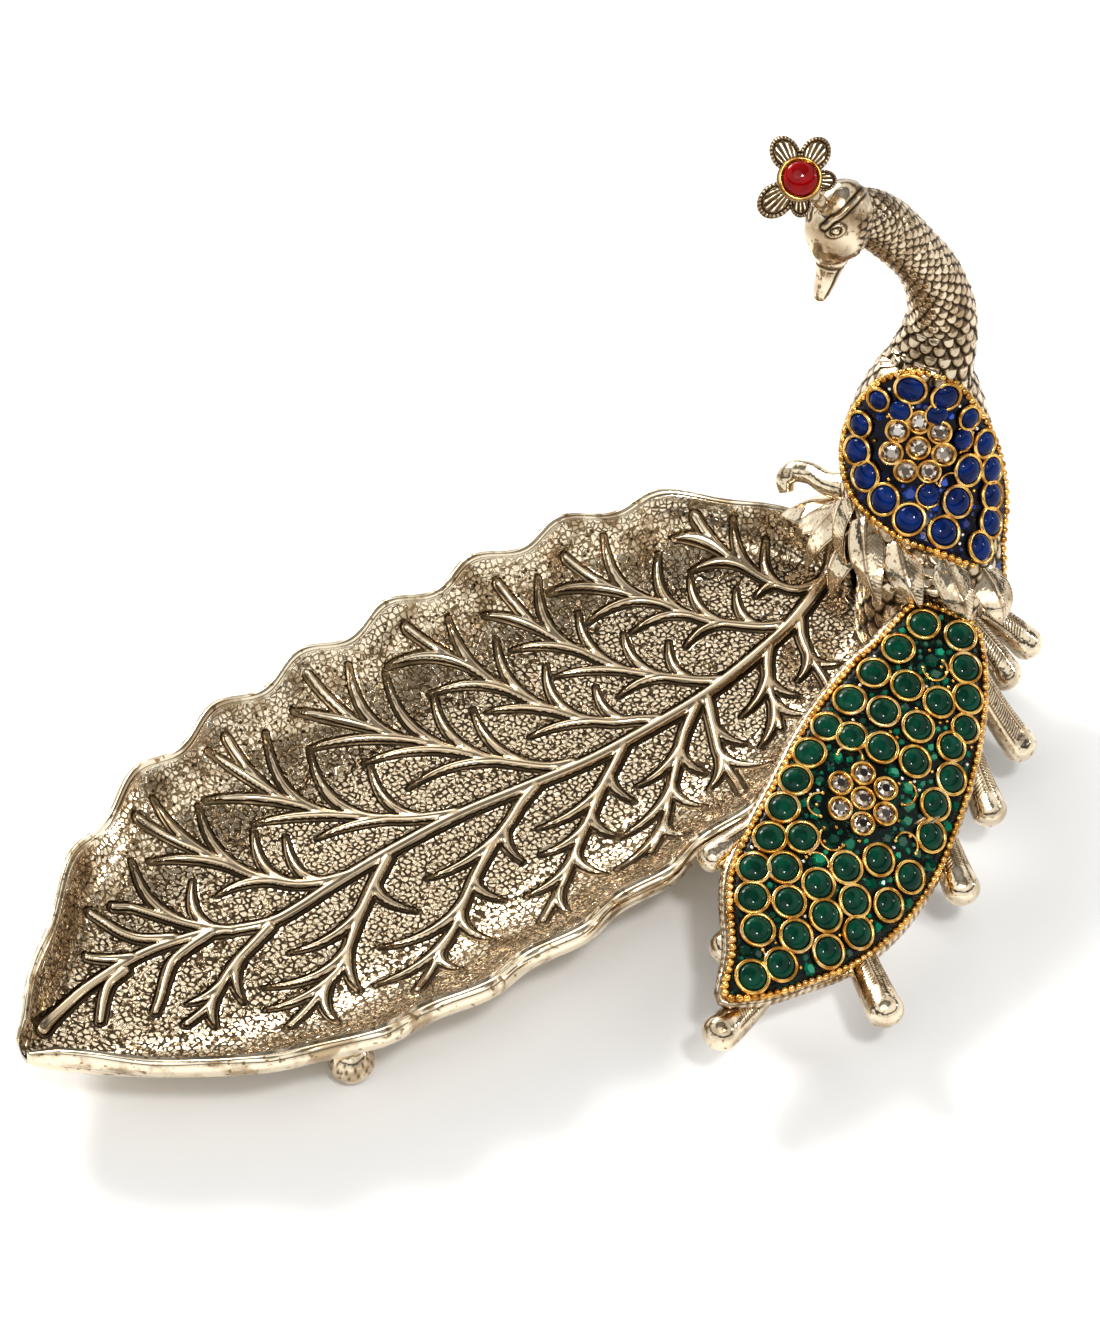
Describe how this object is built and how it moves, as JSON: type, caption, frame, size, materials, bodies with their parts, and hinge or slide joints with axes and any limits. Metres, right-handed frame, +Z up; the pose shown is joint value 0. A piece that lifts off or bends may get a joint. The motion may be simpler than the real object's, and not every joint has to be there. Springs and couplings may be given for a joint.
{
  "type": "peacock leaf tray",
  "caption": "Cast leaf-shaped serving dish on ball feet with a standing peacock at its stem end, its back and tail set with coloured stones.",
  "frame": {"origin": "centre of the footprint's bounding box, on the table under the ball feet", "axes": "+X along the leaf from its tip to its stem end, +Y towards the dish's far side (away from the tail), +Z up"},
  "size_m": [0.3124, 0.1978, 0.2007],
  "materials": {
    "silver": "polished white metal with dark antique patina in the recesses",
    "gold": "bright gold plate",
    "blue_stone": "polished opaque cabochon",
    "crystal": "foil-backed faceted crystal",
    "red_stone": "polished cabochon",
    "fastener": "plain zinc"
  },
  "bodies": {
    "root": {"back_border": "gold", "back_chip_01": "blue_stone", "back_chip_02": "blue_stone", "back_chip_03": "blue_stone", "back_chip_04": "blue_stone", "back_crystal_01": "crystal", "back_crystal_02": "crystal", "back_crystal_03": "crystal", "back_crystal_04": "crystal", "back_crystal_05": "crystal", "back_crystal_06": "crystal", "back_crystal_07": "crystal", "back_crystal_08": "crystal", "back_setting": "gold", "back_stone_01": "blue_stone", "back_stone_02": "blue_stone", "back_stone_03": "blue_stone", "back_stone_04": "blue_stone", "back_stone_05": "blue_stone", "back_stone_06": "blue_stone", "back_stone_07": "blue_stone", "back_stone_08": "blue_stone", "back_stone_09": "blue_stone", "back_stone_10": "blue_stone", "back_stone_11": "blue_stone", "back_stone_12": "blue_stone", "back_stone_13": "blue_stone", "back_stone_14": "blue_stone", "back_stone_15": "blue_stone", "back_stone_16": "blue_stone", "back_stone_17": "blue_stone", "body_bolt": "fastener", "body_casting": "silver", "crest_bezel": "gold", "crest_flower": "silver", "crest_stone": "red_stone", "feather_base": "silver", "foot_back_left": "silver", "foot_back_right": "silver", "foot_bird": "silver", "foot_front_left": "silver", "foot_tail": "silver", "leaf_tray": "silver", "neck_and_head": "silver", "tail_border": "gold", "tail_crystal_01": "crystal", "tail_crystal_02": "crystal", "tail_crystal_03": "crystal", "tail_crystal_04": "crystal", "tail_crystal_05": "crystal", "tail_crystal_06": "crystal", "tail_crystal_07": "crystal", "tail_setting": "gold", "tray_screw_1": "fastener", "tray_screw_2": "fastener"}
  },
  "joints": []
}
